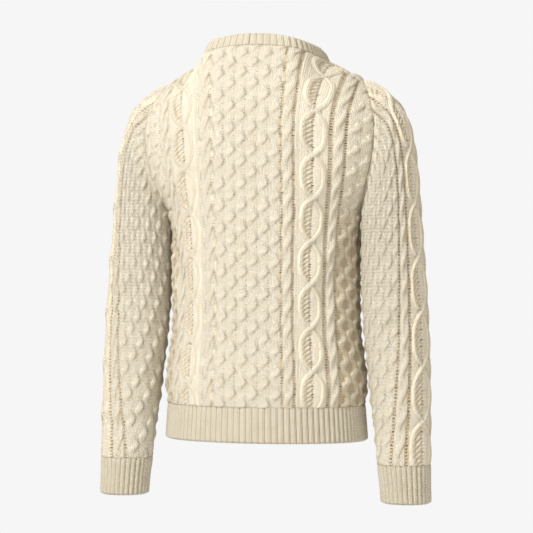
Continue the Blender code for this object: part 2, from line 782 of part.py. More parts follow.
def seam_directions(form, band_base):
    """Function that gives two pieces one thickness direction where they meet."""
    turns = armhole_turns()
    on_arm = np.array([armhole_point(turn)[0] for turn in turns])
    paths = [form.length_at(turn) - SLEEVE_LEVEL for turn in turns]
    arcs = [form.arc_at(turn, path) for turn, path in zip(turns, paths)]
    arm_normals = facing(form.place, np.array(arcs), np.array(paths))
    arm = unit(np.array([body_facing(point) for point in on_arm]) + arm_normals)
    band = strip_normals(np.array([band_base, band_base + band_lean(band_base) * 5]), True)[0]
    neck = unit(np.array([body_facing(point) for point in band_base]) + band)

    def direction(point, own):
        mirror = np.array([1.0 if point[0] >= 0 else -1.0, 1, 1])
        gaps = np.linalg.norm(on_arm - point * mirror, axis=1)
        if gaps.min() < 0.05:
            return arm[gaps.argmin()] * mirror
        gaps = np.linalg.norm(band_base - point, axis=1)
        if gaps.min() < 0.05:
            return neck[gaps.argmin()]
        return body_facing(point)

    return direction


def body_facing(point, step=1.5):
    """Outward direction of the body's surface at a point on it."""
    x, y, z = point
    side = "back" if y > 0 else "front"
    sign = 1 if side == "back" else -1
    near, far = (abs(x) - step, abs(x)) if abs(x) > 2 * step else (-step, step)

    def at(across):
        return half_point(side, np.array(across), path_at(side, abs(across), z))

    below = half_point(side, np.array(abs(x)), path_at(side, abs(x), z) - step)
    normal = unit(np.cross(at(far) - at(near), at(abs(x)) - below) * -sign)
    return normal * [1 if x >= 0 else -1, 1, 1]


def side_label(material, collection):
    """Bare tab of woven tape folded into the left side seam above the welt."""
    middle = float(body("half_width", LABEL_HEIGHT)) + SEAM + 0.2 + LABEL_SIZE[0] / 2
    bpy.ops.mesh.primitive_cube_add(size=1, location=(middle * METRE, 0, LABEL_HEIGHT * METRE))
    tab = bpy.context.object
    tab.name = "side_label"
    tab.scale = [side * METRE for side in LABEL_SIZE]
    bpy.ops.object.transform_apply(location=True, rotation=False, scale=True)
    tab.data.materials.append(material)
    for other in list(tab.users_collection):
        other.objects.unlink(tab)
    collection.objects.link(tab)


def main():
    for thing in list(bpy.data.objects):
        bpy.data.objects.remove(thing, do_unlink=True)
    collection = bpy.data.collections.new("aran_sweater")
    bpy.context.scene.collection.children.link(collection)
    cream = wool("cream_wool", (0.80, 0.72, 0.56, 1), 0.95)
    rib = wool("cream_rib", (0.78, 0.70, 0.54, 1), 0.95)
    tape = wool("woven_tape", (0.35, 0.27, 0.17, 1), 0.8)
    form = SleeveForm()
    band_base = neckline()
    directions = seam_directions(form, band_base)
    add_piece("back", *panel("back", directions), cream, collection)
    add_piece("front", *panel("front", directions), cream, collection)
    arm = sleeve(form, directions)
    add_piece("sleeve_left", *arm, cream, collection)
    add_piece("sleeve_right", *mirrored(*arm), cream, collection)
    end = cuff()
    add_piece("cuff_left", *end, rib, collection)
    add_piece("cuff_right", *mirrored(*end), rib, collection)
    add_piece("hem_welt_back", *welt("back"), rib, collection)
    add_piece("hem_welt_front", *welt("front"), rib, collection)
    add_piece("neckband", *neckband(band_base), rib, collection)
    side_label(tape, collection)


main()
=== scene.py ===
import math

import bpy
import numpy as np
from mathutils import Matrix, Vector


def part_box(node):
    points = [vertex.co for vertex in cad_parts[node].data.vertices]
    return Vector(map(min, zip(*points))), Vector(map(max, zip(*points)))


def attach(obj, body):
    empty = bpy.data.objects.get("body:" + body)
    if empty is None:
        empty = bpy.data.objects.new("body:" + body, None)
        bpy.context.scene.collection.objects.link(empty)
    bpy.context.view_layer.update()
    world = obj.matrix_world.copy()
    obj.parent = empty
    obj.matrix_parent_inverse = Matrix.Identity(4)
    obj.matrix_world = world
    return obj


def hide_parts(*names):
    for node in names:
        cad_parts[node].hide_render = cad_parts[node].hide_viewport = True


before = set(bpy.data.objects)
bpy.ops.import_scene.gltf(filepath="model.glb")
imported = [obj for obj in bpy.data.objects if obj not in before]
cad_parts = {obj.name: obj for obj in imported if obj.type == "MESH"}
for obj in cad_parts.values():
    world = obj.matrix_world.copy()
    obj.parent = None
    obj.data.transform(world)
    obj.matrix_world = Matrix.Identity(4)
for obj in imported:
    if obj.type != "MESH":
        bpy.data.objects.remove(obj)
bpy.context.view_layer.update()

# Driving sizes, in millimetres until a mesh is made. Front faces -Y, the wearer's left is +X

METRE = 0.001
WALL = 3.0
STITCH = 4.75
ROW = 4.71
SLEEVE_STITCH = 5.125
SLEEVE_ROW = 5.75
SLEEVE_TURN = 24.0
HEM_BOTTOM = -661.0
WELT_TOP = -600.0
UNDERARM = -262.0
UNDERARM_ACROSS = 174.0
SHOULDER_TIP = (177.0, -40.0)
NECK_HALF_WIDTH = 111.0
NECK_BACK_RISE = 17.5
NECK_FRONT_DROP = 62.0
SHOULDER_SEAM_BEHIND = 22.0
SHOULDER_SEAM_START = 18.0
SHOULDER_ROUND = {"back": 75.0, "front": 85.0}
ARMHOLE_BULGE = 40.0
ARMHOLE_DEPTH = 49.0
SIDE_STITCHES = 46.75
SIDE_ROW_SHRINK = 0.05
SIDE_SHRINK_FROM = 32.0
LEVEL_STEP = 10.0
SLEEVE_LENGTH = 560.0
CUFF_TOP = -697.0
CUFF_BOTTOM = -763.0
RIB_PITCH = 9.2
BAND_HEIGHT = 23.0
NECK_RIBS = 60
NECK_SMOOTHING = 34
NECK_DEPTH = 180.0
SEAM_GAP = 0.3
EDGE_ROUND = 4.0
SEAM_DRAW = 8.0
CABLE_RISE = 4.8
LADDER_RISE = 0.6
RIB_RISE = 3.4
GROUND_RISE = 0.7
SEAM_FADE = 12.0
WELT_FADE = 16.0
ARMHOLE_FADE = 20.0


def table(names, rows):
    """Named columns of numbers, one row for each section."""
    columns = zip(*rows)
    return {name: np.array(column, float) for name, column in zip(names.split(), columns)}


BODY = table("height half_width back front", [
    (-670, 179.0, 117, 108),
    (-640, 177.0, 117, 108),
    (-600, 174.5, 116, 109),
    (-560, 177.5, 118, 112),
    (-520, 173.0, 115, 110),
    (-478, 167.0, 112, 107),
    (-420, 165.4, 112, 107),
    (-362, 165.3, 113, 109),
    (-300, 168.0, 115, 112),
    (-262, 174.0, 117, 114),
    (-190, 174.0, 120, 115),
    (-110, 174.0, 123, 109),
    (-50, 174.0, 118, 101),
    (30, 174.0, 109, 92),
])

# Above the underarm: a stitch's width at the middle, and the share by which the run to the fortieth is wider

GAUGE = table("height width_of_stitch widening", [
    (-262, 4.94, 0.0),
    (-190, 4.82, 0.09),
    (-108, 4.80, 0.143),
    (-50, 5.10, 0.14),
])
WIDENING_STITCHES = 40

RIDGE = table("across height", [
    (0, 58),
    (40, 54),
    (75, 44),
    (90, 27),
    (100, 10),
    (108, -4),
    (114, -10),
    (124, -15),
    (140, -21),
    (177, -40),
    (210, -55),
])

SLEEVE = table("outer_x outer_z inner_x inner_z middle_y half_depth bulge", [
    (199.0, -50, 175.5, -266, 1, 50.0, 24),
    (224.0, -67, 176.5, -272, 2, 51.5, 16),
    (243.0, -90, 177.5, -282, 3, 53.0, 8),
    (257.0, -124, 178.0, -298, 4, 54.5, 2),
    (266.0, -172, 178.5, -322, 5, 55.0, 0),
    (272.5, -240, 178.5, -356, 6, 55.0, 0),
    (279.0, -320, 179.5, -404, 8, 54.0, 0),
    (286.0, -410, 183.0, -464, 10, 52.5, 0),
    (291.0, -500, 190.0, -528, 12, 50.5, 0),
    (293.5, -590, 198.0, -600, 15, 47.0, 0),
    (294.5, -650, 205.0, -652, 18, 43.0, 0),
    (295.5, -697, 209.0, -697, 20, 41.0, 0),
])

CUFF = table("height outer_x inner_x middle_y half_depth", [
    (-763, 296.5, 216.5, 22, 38.0),
    (-725, 295.5, 213.0, 21, 39.0),
    (-697, 295.5, 209.0, 20, 41.0),
])

# Creases: across and up in millimetres, turn in degrees, half length, half width, depth below the cloth

BODY_CREASES = table("across up turn length width depth", [
    (170, 250, 52, 90, 16, 4.0),
    (150, 200, 58, 70, 14, 3.0),
    (-165, 262, 128, 95, 17, 4.5),
    (-140, 190, 120, 65, 14, 2.5),
    (120, 60, 12, 80, 18, 3.0),
    (-60, 42, -9, 90, 16, 2.5),
    (95, 430, 70, 60, 18, 2.5),
    (-100, 420, 112, 60, 18, 2.5),
])
SLEEVE_CREASES = table("across up turn length width depth", [
    (100, 290, 24, 60, 13, 4.0),
    (-110, 310, -22, 60, 13, 4.0),
    (90, 240, -14, 55, 12, 3.0),
    (-90, 215, 18, 55, 12, 3.0),
    (60, 60, 12, 60, 12, 3.0),
    (-70, 40, -8, 60, 12, 3.0),
    (120, 380, 38, 60, 14, 4.0),
    (-120, 400, -36, 60, 14, 4.0),
])


# The form under the cables

def smooth(xs, ys, at):
    """Cubic curve through the rows of a table."""
    at = np.clip(np.asarray(at, float), xs[0], xs[-1])
    slope = np.gradient(ys, xs)
    index = np.clip(np.searchsorted(xs, at, side="right") - 1, 0, len(xs) - 2)
    step = xs[index + 1] - xs[index]
    t = (at - xs[index]) / step
    a = ys[index] * (2 * t ** 3 - 3 * t ** 2 + 1) + ys[index + 1] * (3 * t ** 2 - 2 * t ** 3)
    b = slope[index] * (t ** 3 - 2 * t ** 2 + t) + slope[index + 1] * (t ** 3 - t ** 2)
    return a + step * b


def body(name, height):
    """Half width or depth of the body at a height."""
    return smooth(BODY["height"], BODY[name], height)


def ridge(across):
    """Height of the shoulder line above a distance from the middle."""
    return smooth(RIDGE["across"], RIDGE["height"], across)


ARM_MIDDLE = (SHOULDER_TIP[1] + UNDERARM) / 2
ARM_HALF = (SHOULDER_TIP[1] - UNDERARM) / 2
ARM_ACROSS = (SHOULDER_TIP[0] + UNDERARM_ACROSS) / 2
ARM_LEAN = (SHOULDER_TIP[0] - UNDERARM_ACROSS) / 2


def armhole_across(angle):
    """Distance of the armhole from the middle, angle 0 at the shoulder tip and pi at the underarm."""
    c = np.cos(angle)
    return ARM_ACROSS + ARM_LEAN * c + ARMHOLE_BULGE * np.sin(angle) ** 2 * (0.75 + 0.25 * c)


def armhole_height(angle):
    """Height of the armhole at the same angle."""
    return ARM_MIDDLE + ARM_HALF * np.cos(angle)


def section_width(side, height):
    """Half width of the level section that holds the cloth at a height."""
    height = np.asarray(height, float)
    angle = np.arccos(np.clip((height - ARM_MIDDLE) / ARM_HALF, -1, 1))
    reach = np.where(angle < math.pi / 2, ARMHOLE_DEPTH, ARMHOLE_DEPTH * np.sin(angle))
    upper = armhole_across(angle) / np.sqrt(1 - (reach / body(side, height)) ** 2)
    return np.where(height > UNDERARM, upper, body("half_width", height))


def section_depth(side, across, height):
    """Distance of the cloth behind or before the middle plane."""
    ratio = np.clip(np.abs(across) / section_width(side, height), 0, 1)
    return body(side, height) * np.sqrt(1 - ratio ** 2)


def round_start(side, across):
    """Height at which the cloth begins to curve over to the shoulder line."""
    return ridge(np.abs(across)) - SHOULDER_ROUND[side]


def round_length(side, across):
    """Length of cloth from there to the shoulder line."""
    depth = section_depth(side, across, round_start(side, across))
    return math.pi / 2 * np.sqrt((SHOULDER_ROUND[side] ** 2 + depth ** 2) / 2)


def path_to_ridge(side, across):
    """Distance up the cloth from the welt to the shoulder line."""
    return round_start(side, across) - WELT_TOP + round_length(side, across)


def path_at(side, across, height):
    """Distance up the cloth from the welt to a height."""
    start = round_start(side, across)
    lift = np.clip((height - start) / SHOULDER_ROUND[side], 0, 1)
    curved = np.arcsin(lift) / (math.pi / 2) * round_length(side, across)
    return np.where(height <= start, height - WELT_TOP, start - WELT_TOP + curved)


def half_point(side, across, path):
    """Point on one half of the body, on a column at a distance up the cloth."""
    start = round_start(side, across)
    turn = np.clip((path - (start - WELT_TOP)) / round_length(side, across), 0, 1) * math.pi / 2
    height = np.where(turn > 0, start + SHOULDER_ROUND[side] * np.sin(turn), WELT_TOP + path)
    depth = section_depth(side, across, height) * np.cos(turn)
    sign = 1 if side == "back" else -1
    return np.stack([across, sign * depth, height], -1)


def body_surface(side, across, path):
    """As half_point, and on over the shoulder line to the other half."""
    other = "front" if side == "back" else "back"
    top = path_to_ridge(side, across)
    near = half_point(side, across, np.minimum(path, top))
    far = half_point(other, across, path_to_ridge(other, across) - (path - top))
    return np.where((path > top)[..., None], far, near)


class Columns:
    """Where each column of stitches runs on a half of the body."""

    def __init__(self, side):
        self.levels = np.arange(WELT_TOP, GAUGE["height"][-1] + 1, LEVEL_STEP)
        self.stitches = np.linspace(0, SIDE_STITCHES + 6, 120)
        bends = np.linspace(0, math.pi / 2, 241)
        rows = []
        for level in self.levels:
            x = float(section_width(side, level)) * np.sin(bends)
            y = float(body(side, level)) * np.cos(bends)
            run = np.concatenate([[0], np.cumsum(np.hypot(np.diff(x), np.diff(y)))])
            if level <= UNDERARM:
                gauge = run[-1] / SIDE_STITCHES
                widening = 0.0
                at_underarm = gauge
            else:
                scale = at_underarm / GAUGE["width_of_stitch"][0]
                gauge = scale * smooth(GAUGE["height"], GAUGE["width_of_stitch"], level)
                widening = smooth(GAUGE["height"], GAUGE["widening"], level)
            widened = self.stitches * (1 + widening * self.stitches / WIDENING_STITCHES)
            rows.append(np.interp(gauge * widened, run, x))
        self.across = np.array(rows)

    def at(self, stitch, path):
        """Distance from the middle, with the sign of the stitch number."""
        level = np.clip(WELT_TOP + np.asarray(path, float), self.levels[0], self.levels[-1])
        row = (level - self.levels[0]) / LEVEL_STEP
        low = np.clip(row.astype(int), 0, len(self.levels) - 2)
        part = row - low
        column = np.clip(np.abs(stitch) / self.stitches[1], 0, len(self.stitches) - 1.001)
        left = column.astype(int)
        share = column - left
        grid = self.across
        lower = grid[low, left] * (1 - share) + grid[low, left + 1] * share
        upper = grid[low + 1, left] * (1 - share) + grid[low + 1, left + 1] * share
        return np.sign(stitch) * (lower * (1 - part) + upper * part)

    def stitch_at(self, across, path):
        """Number of the stitch at a distance from the middle."""
        places = self.at(self.stitches, np.full(len(self.stitches), path))
        return float(np.interp(across, places, self.stitches))


def neck_height(side, across):
    """Height of the neckline over a distance from the middle."""
    c = np.sqrt(np.clip(1 - (across / NECK_HALF_WIDTH) ** 2, 0, 1))
    lean = (NECK_BACK_RISE + NECK_FRONT_DROP) / 2
    bow = (NECK_FRONT_DROP - NECK_BACK_RISE) / 2
    start = ridge(NECK_HALF_WIDTH) * (1 - c)
    return start + (lean if side == "back" else -lean) * c ** 1.5 - bow * c * c


def shoulder_shift(across):
    """How far behind the shoulder line its seam runs, growing from nothing at the neck."""
    return SHOULDER_SEAM_BEHIND * ease((np.abs(across) - NECK_HALF_WIDTH) / SHOULDER_SEAM_START)


def seam_angle():
    """Angle on the back armhole at which the shoulder seam meets it."""
    angles = np.linspace(0, 1.2, 241)
    x = armhole_across(angles)
    left = path_to_ridge("back", x) - path_at("back", x, armhole_height(angles))
    return float(np.interp(SHOULDER_SEAM_BEHIND, left, angles))


def armhole_point(turn):
    """Point of the left armhole curve, turn 0 at the shoulder tip and positive behind it."""
    side = "back" if turn > 0 else "front"
    x = float(armhole_across(abs(turn)))
    path = path_at(side, x, float(armhole_height(abs(turn))))
    return half_point(side, np.array(x), path)


def unit(vectors):
    """Vectors of length 1."""
    return vectors / np.maximum(np.linalg.norm(vectors, axis=-1, keepdims=True), 1e-12)


def ease(t):
    """0 to 1 with a soft start and end."""
    t = np.clip(t, 0, 1)
    return t * t * (3 - 2 * t)


def resample(line, count, curve=None):
    """Points at even steps along a line, measured on curve."""
    curve = line if curve is None else curve
    run = np.concatenate([[0], np.cumsum(np.linalg.norm(np.diff(curve, axis=0), axis=1))])
    at = np.linspace(0, run[-1], count)
    return np.stack([np.interp(at, run, line[:, k]) for k in range(line.shape[1])], -1)


# Knitting: height and yarn run, built up cord by cord, in stitches across and rows up

EVERYWHERE = 99.0
CELL_SWAY = 0.21
CELL_CORD = 0.39
CELL_TURN = math.pi / 4
ROPE_TURN = math.pi / 8
DIAMOND_TURN = math.pi / 16
DIAMOND_CORD = 1.15
BAR_ROWS = 1.7
YARN_JUMP = 1.2


def swing(s):
    """Sway that crosses fast and lingers at its ends."""
    return s * (1.38 - 0.38 * s * s)


class Knit:
    """A knitted surface over arrays of stitches across and rows up.

    height is the relief in millimetres, yarn where a point lies on its cord, up it and how purled it is,
    valley how open the stitch is, whose colour is also painted dark with shade, and painted_shade how much
    shade is painted on the surface, both 0 to 1. gauge is a stitch's width over its height.
    """

    def __init__(self, across, row, gauge):
        self.across = across
        self.row = row
        self.gauge = gauge
        self.height = np.full(across.shape, GROUND_RISE)
        self.yarn = np.stack([across, row, np.ones(across.shape)], -1)
        self.valley = np.zeros(across.shape)
        self.painted_shade = np.zeros(across.shape)

    def ground(self, low, high, height, purl):
        """Plain ground between two columns, purl 1 or knit 0."""
        inside = (self.across >= low) & (self.across < high)
        self.height = np.where(inside, height, self.height)
        self.yarn[..., 2] = np.where(inside, purl, self.yarn[..., 2])

    def ladder(self, low, high, strength):
        """Narrow sunk column of purl between cables, with an open stitch in each row. Where strength passes a
        half, the column is painted in shade.
        """
        self.ground(low, high, LADDER_RISE, 1.0)
        self.holes((low + high) / 2, strength)
        inside = (self.across >= low - 0.2) & (self.across < high + 0.2)
        self.painted_shade = np.where(inside, 0.45 * ease(strength - 0.5), self.painted_shade)

    def holes(self, column, strength, width=0.42):
        """Line of open stitches up a column."""
        line = strength * np.exp(-((self.across - column) / width) ** 2)
        self.valley = np.maximum(self.valley, line)

    def cord(self, centre, half, rise, low=-EVERYWHERE, high=EVERYWHERE):
        """Rounded cord of knit stitches along centre(row), rise(row) high and steepest on its right."""
        middle = centre(self.row)
        slope = (centre(self.row + 0.2) - centre(self.row - 0.2)) / 0.4 * self.gauge
        stretch = np.sqrt(1 + slope ** 2)
        d = np.abs(self.across - middle) / stretch / half
        top = rise(self.row) * np.clip(1 - d ** 2.2, 0, 1) ** np.where(self.across > middle, 0.45, 1.0)
        wins = (top > self.height) & (d < 1) & (self.across >= low) & (self.across <= high)
        self.height = np.where(wins, top, self.height)
        self.valley = np.where(wins, self.valley * ease(d * 2 - 1), self.valley)
        home = np.round(middle.mean())
        yarn = np.stack([home + (self.across - middle) / stretch, self.row, np.zeros(d.shape)], -1)
        self.yarn = np.where(wins[..., None], yarn, self.yarn)

    def painted_edge_shade(self, edge, climb, low=-EVERYWHERE, high=EVERYWHERE):
        """Painted shade along the right edge of a cord, where it climbs to the right, standing in for the
        shadow there.
        """
        line = 0.42 * np.exp(-((self.across - edge) / 0.3) ** 2) * ease((climb - 0.25) / 0.5)
        inside = (self.across > low) & (self.across < high)
        self.painted_shade = np.where(inside, np.maximum(self.painted_shade, line), self.painted_shade)

    def cells(self, middles, pitch, start, low, high, sunk_and_shaded=0.0):
        """Honeycomb: upright cords that sway to and from their neighbours.

        middles are the cords' mean places, start the row at which the first one stands furthest left,
        sunk_and_shaded how far their ground is lowered and painted in shade, 0 to 1. The cords' climbing
        edges are painted in shade too.
        """
        cords = [(middle, 1 if k % 2 else -1) for k, middle in enumerate(middles)]

        def place(middle, way, r):
            return middle + way * CELL_SWAY * pitch * swing(np.cos((r - start) * CELL_TURN))

        def climb(way, r):
            return -way * np.sin((r - start) * CELL_TURN)

        def rise(way, r):
            return CABLE_RISE * (0.60 + 0.27 * climb(way, r) + 0.21 * climb(way, r) ** 2)

        self.ground(low, high, 2.3 - 1.3 * sunk_and_shaded, 0.0)
        for middle, way in cords:
            self.holes(middle - pitch / 2, 0.6, 0.3)
            self.cord(lambda r: place(middle, way, r), CELL_CORD * pitch, lambda r: rise(way, r), low, high)
        inside = (self.across > low) & (self.across < high)
        # Painted shade over the low ground, as far as it lies in shade, and along the cords' climbing edges
        self.painted_shade = np.where(inside, sunk_and_shaded * (0.14 + 0.4 * ease((3.2 - self.height) / 2.2)), self.painted_shade)
        for middle, way in cords:
            self.painted_edge_shade(place(middle, way, self.row) + 0.37 * pitch, climb(way, self.row), low, high)

    def rope(self, centre, spread, half, start):
        """Two cords that lie close together and cross every eight rows, with painted shade along their
        climbing right edges.
        """
        def place(way, r):
            return centre + way * spread * swing(np.sin((r - start) * ROPE_TURN))

        def lean(way, r):
            return way * np.cos((r - start) * ROPE_TURN)

        self.column(centre, spread + half, 0.6 * CABLE_RISE)
        for way in (1, -1):
            self.cord(lambda r: place(way, r), half, lambda r: CABLE_RISE * (0.72 + 0.34 * lean(way, r)))
        for way in (1, -1):
            self.painted_edge_shade(place(way, self.row) + 0.9 * half, lean(way, self.row), centre - 2.4, centre + 2.1)

    def diamond(self, centre, spread, start):
        """Two cords that cross every sixteen rows, over a ground barred on its left, smooth on its right.

        A vein of open stitches runs up between the halves. The slots between the bars and the cords' climbing
        right edges are painted in shade.
        """
        def place(way, r):
            return centre + way * spread * swing(np.sin((r - start) * DIAMOND_TURN))

        def rise(way, r):
            lean = way * np.cos((r - start) * DIAMOND_TURN)
            near = np.exp(-(np.sin((r - start) * DIAMOND_TURN) / 0.4) ** 2)
            return CABLE_RISE * (0.98 + 0.24 * lean * near)

        local = self.across - centre
        turn = (self.row - start) * DIAMOND_TURN
        seeds = 0.3 * np.sin(math.pi * self.across) * np.sin(math.pi * self.row)
        panel = np.abs(local) < spread + DIAMOND_CORD
        inside = np.abs(local) < spread * np.abs(swing(np.sin(turn)))
        barred = inside & (local < 0)
        rung = np.abs(np.sin((self.row - local * 0.75) * math.pi / BAR_ROWS)) ** 0.8
        vein = inside * np.exp(-((local + 0.1) / 0.45) ** 2)
        self.height = np.where(panel, 2.1 + seeds, self.height)
        self.height = np.where(inside, 2.9 + seeds, self.height)
        self.height = np.where(barred, 0.2 + 3.3 * rung, self.height)
        self.height = self.height * (1 - 0.75 * vein)
        # Painted shade in the slots between the bars
        self.painted_shade = np.where(barred, 0.6 * ease(1.1 - 1.5 * rung), self.painted_shade)
        self.valley = np.maximum(self.valley, vein)
        self.yarn[..., 2] = np.where(panel, 0.2, self.yarn[..., 2])
        self.yarn[..., 2] = np.where(inside, 0.3, self.yarn[..., 2])
        for way in (1, -1):
            self.cord(lambda r: place(way, r), DIAMOND_CORD, lambda r: rise(way, r))
            self.painted_edge_shade(place(way, self.row) + DIAMOND_CORD, -way * np.sin(turn))

    def column(self, centre, half, rise):
        """Single upright column of knit stitches."""
        self.cord(lambda r: centre + 0 * r, half, lambda r: rise + 0 * r)

    def steady(self):
        """1 where the yarn runs on to the next point, 0 where another cord begins."""
        run = self.yarn[..., 0] - self.across
        steady = np.ones(run.shape)
        sideways = np.abs(np.diff(run, axis=1)) > YARN_JUMP
        upward = np.abs(np.diff(run, axis=0)) > YARN_JUMP
        steady[:, 1:][sideways] = 0
        steady[:, :-1][sideways] = 0
        steady[1:][upward] = 0
        steady[:-1][upward] = 0
        return steady

    def open_end(self):
        """Drop the last column, for a ring that closes on its first one."""
        for name in ("across", "row", "height", "yarn", "valley", "painted_shade"):
            setattr(self, name, getattr(self, name)[:, :-1])


BODY_LADDERS = ((12.2, 13.0), (16.3, 17.1), (27.9, 29.0), (32.7, 33.5))
MIDDLE_CELLS = np.array([-10, -6, -2, 2, 6, 10])
SIDE_CELLS = np.array([35.4, 39.5, 43.6, 47.7, 51.8])
SIDE_EDGE = BODY_LADDERS[-1][1]
SHADED_ROWS = 82
SHADE_FADE = 18
SLEEVE_LADDERS = ((5.1, 6.1), (10.3, 11.1))
SLEEVE_CELLS = np.arange(13.1, 54.0, 4.0)
SLEEVE_EDGE = SLEEVE_LADDERS[-1][1]


def body_knit(across, row):
    """Cables of the front and the back, in stitches from the middle.

    The ladders on one side are more open than those on the other and painted in shade, and the lower part of
    the side honeycomb has its ground lowered and painted in shade, as in the photo.
    """
    knit = Knit(across, row, STITCH / ROW)
    for low, high in BODY_LADDERS:
        knit.ladder(low, high, 1.3)
        knit.ladder(-high, -low, 0.5)
    knit.cells(MIDDLE_CELLS, 4.0, 6.0, -12.3, 12.3)
    shaded = ease((SHADED_ROWS - row) / SHADE_FADE)
    knit.cells(SIDE_CELLS, 4.1, 7.0, SIDE_EDGE, EVERYWHERE, shaded)
    knit.cells(-SIDE_CELLS, 4.1, 3.0, -EVERYWHERE, -SIDE_EDGE, shaded)
    for side, rope_row, diamond_row in ((1, 3.7, 13.5), (-1, 7.9, 8.9)):
        knit.rope(side * 14.65, 0.95, 1.3, rope_row)
        knit.column(side * 17.9, 0.9, 2.6)
        knit.diamond(side * 23.15, 3.5, diamond_row)
        knit.rope(side * 30.85, 0.85, 1.15, rope_row)
    return knit


def sleeve_knit(across, row):
    """Cables of a sleeve, in stitches from its outer line."""
    knit = Knit(across, row, SLEEVE_STITCH / SLEEVE_ROW)
    for low, high in SLEEVE_LADDERS:
        knit.ladder(low, high, 1.2)
        knit.ladder(-high, -low, 1.4)
    knit.cells(SLEEVE_CELLS, 4.0, 1.0, SLEEVE_EDGE, EVERYWHERE)
    knit.cells(-SLEEVE_CELLS, 4.0, 5.0, -EVERYWHERE, -SLEEVE_EDGE)
    knit.diamond(0.0, 3.9, 13.0)
    for side in (1, -1):
        knit.rope(side * 8.2, 1.0, 1.35, 5.0)
    return knit


def creases(rows, across, up):
    """Depth of the soft troughs pressed into a cloth, each with a low swell along one side."""
    depth = np.zeros(across.shape)
    for i in range(len(rows["across"])):
        crease = {name: values[i] for name, values in rows.items()}
        turn = math.radians(crease["turn"])
        x, y = across - crease["across"], up - crease["up"]
        along = (x * math.cos(turn) + y * math.sin(turn)) / crease["length"]
        away = y * math.cos(turn) - x * math.sin(turn)
        bend = (away + 6 * np.sin(along * 1.7)) / crease["width"]
        trough = np.exp(-bend ** 2)
        swell = 0.45 * np.exp(-(bend - 1.7) ** 2)
        depth += crease["depth"] * ease(1.15 - np.abs(along)) * (swell - trough)
    return depth


# Walls: the inner side has one point for every four of the outer one

COARSE = 4


def grid_normals(points, closed):
    """Outward directions of a grid whose columns run to the right and rows up."""
    if closed:
        along = np.roll(points, -1, axis=1) - np.roll(points, 1, axis=1)
    else:
        along = np.gradient(points, axis=1)
    up = np.gradient(points, axis=0)
    return unit(np.cross(along, up))


def strip(fine, coarse):
    """Triangles from a fine edge to a coarse one, the piece on their left."""
    faces = []
    for k in range(len(coarse) - 1):
        f = fine[COARSE * k:COARSE * k + COARSE + 1]
        a, b = coarse[k], coarse[k + 1]
        faces += [(f[0], a, f[1]), (f[1], a, f[2]), (f[2], a, b), (f[2], b, f[3]), (f[3], b, f[4])]
    return faces


def quads(numbers):
    """Quads of a grid of point numbers, seen from outside."""
    a, b = numbers[:-1, :-1], numbers[:-1, 1:]
    c, d = numbers[1:, 1:], numbers[1:, :-1]
    return np.stack([a, b, c, d], -1).reshape(-1, 4).tolist()


def wall(outer, inner, closed):
    """Faces and points of a closed wall from a fine outer grid and a coarse inner one."""
    rows, count = outer.shape[:2]
    inner_rows, inner_count = inner.shape[:2]
    fine = np.arange(rows * count).reshape(rows, count)
    coarse = rows * count + np.arange(inner_rows * inner_count).reshape(inner_rows, inner_count)
    if closed:
        fine = np.hstack([fine, fine[:, :1]])
        coarse = np.hstack([coarse, coarse[:, :1]])
    faces = quads(fine) + quads(coarse[:, ::-1])
    faces += strip(fine[0], coarse[0]) + strip(fine[-1, ::-1], coarse[-1, ::-1])
    if not closed:
        faces += strip(fine[:, -1], coarse[:, -1]) + strip(fine[::-1, 0], coarse[::-1, 0])
    return np.vstack([outer.reshape(-1, 3), inner.reshape(-1, 3)]), faces


def knitted_piece(name, base, knit, lift, material, closed=False, edge=None):
    """Cloth wall: base grid moved out by the knit's height, with its yarn kept for the wool.

    lift is added to the height, edge draws the free edges in from both sides. The inside is purled.
    """
    normals = grid_normals(base, closed)
    pull = np.zeros(base.shape[:2]) if edge is None else edge
    height = knit.height * (1 - pull) + lift - pull * WALL * 0.5
    outer = base + normals * height[..., None]
    pick = slice(None, None, COARSE)
    inner_drop = (WALL * (1 - 0.42 * pull) - lift)[pick, pick]
    inner = base[pick, pick] - normals[pick, pick] * inner_drop[..., None]
    points, faces = wall(outer, inner, closed)
    mesh = bpy.data.meshes.new(name)
    mesh.from_pydata((points * METRE).tolist(), [], faces)
    mesh.update()
    mesh.polygons.foreach_set("use_smooth", [True] * len(mesh.polygons))
    purled_yarn = knit.yarn * [1, 1, 0] + [0, 0, 1]
    chart = np.stack([knit.across, knit.row, knit.valley], -1)
    tone = np.stack([knit.painted_shade, knit.steady(), np.zeros(knit.painted_shade.shape)], -1)
    sides = {"yarn": (knit.yarn, purled_yarn), "chart": (chart, chart * [1, 1, 0.3]), "tone": (tone, tone)}
    for label, (outside, inside) in sides.items():
        values = np.vstack([outside.reshape(-1, 3), inside[pick, pick].reshape(-1, 3)])
        mesh.attributes.new(label, "FLOAT_VECTOR", "POINT").data.foreach_set("vector", values.ravel())
    mesh.materials.append(material)
    piece = bpy.data.objects.new(name, mesh)
    bpy.context.scene.collection.objects.link(piece)
    return piece


# Pieces

PANEL_COLUMNS = 244
PANEL_ROWS = 328
SLEEVE_COLUMNS = 184
SLEEVE_ROWS = 336
BAND_ROWS = 24
RIB_POINTS = 8


def above_welt(distance):
    """What is left of the relief at a distance above the ribbing."""
    return ease(0.6 + distance / WELT_FADE)


def below_seam(distance):
    """What is left of the relief at a distance from a seam."""
    return ease(0.35 + distance / SEAM_FADE)


